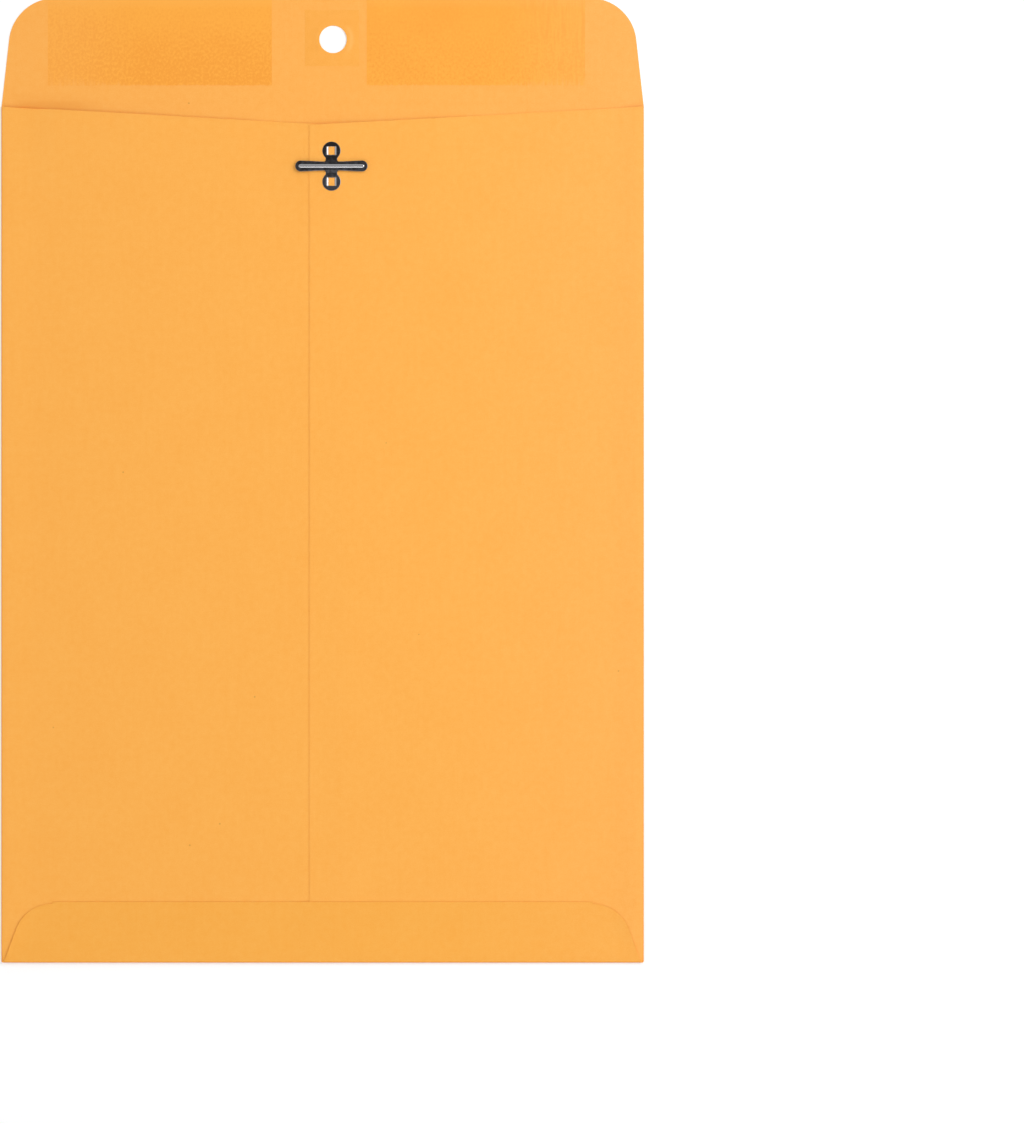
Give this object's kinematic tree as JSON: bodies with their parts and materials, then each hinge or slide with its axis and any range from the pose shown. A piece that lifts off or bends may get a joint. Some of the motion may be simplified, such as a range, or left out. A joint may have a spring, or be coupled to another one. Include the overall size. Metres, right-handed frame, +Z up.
{
  "type": "clasp envelope",
  "caption": "Flat kraft paper envelope with a gummed closing flap, a patched flap hole and a metal clasp whose prongs bend up through the hole to hold it shut.",
  "frame": {"origin": "middle of the footprint of the open envelope, on the surface that its front lies on", "axes": "+X across the envelope to the right, +Y from the bottom fold to the flap's free edge, +Z up out of the back, the side that carries the clasp"},
  "size_m": [0.2286, 0.3434, 0.0022],
  "materials": {
    "kraft_paper": "uncoated golden kraft with fine fibre mottling",
    "patch_paper": "uncoated golden kraft, a shade deeper",
    "flap_gum": "dried remoistenable gum, slightly glossy and mottled",
    "paper_glue": "dried paper glue",
    "clasp_tinplate": "dark tinplate with bright burnished ribs"
  },
  "bodies": {
    "pocket": {"front_panel": "kraft_paper", "left_side_fold": "kraft_paper", "left_back_panel": "kraft_paper", "right_side_fold": "kraft_paper", "right_back_panel": "kraft_paper", "bottom_fold": "kraft_paper", "bottom_flap": "kraft_paper", "flap_fold": "kraft_paper", "seam_glue": "paper_glue", "bottom_flap_glue": "paper_glue", "clasp_base": "clasp_tinplate"},
    "flap": {"closure_flap": "kraft_paper", "left_gum_strip": "flap_gum", "right_gum_strip": "flap_gum", "hole_patch": "patch_paper"},
    "left_prong": {"left_prong": "clasp_tinplate"},
    "right_prong": {"right_prong": "clasp_tinplate"}
  },
  "joints": [
    {"name": "flap_hinge", "type": "hinge", "parent": "pocket", "child": "flap", "pos_m": [0, 0.13431, 0.00081], "axis": [1, 0, 0], "range_deg": [0, 180], "deforming": ["flap_fold"]},
    {"name": "left_prong_bend", "type": "hinge", "parent": "pocket", "child": "left_prong", "pos_m": [0.0003, 0.11167, 0.0018], "axis": [0, 1, 0], "range_deg": [0, 90]},
    {"name": "right_prong_bend", "type": "hinge", "parent": "pocket", "child": "right_prong", "pos_m": [0.00611, 0.11167, 0.0018], "axis": [0, -1, 0], "range_deg": [0, 90]}
  ]
}
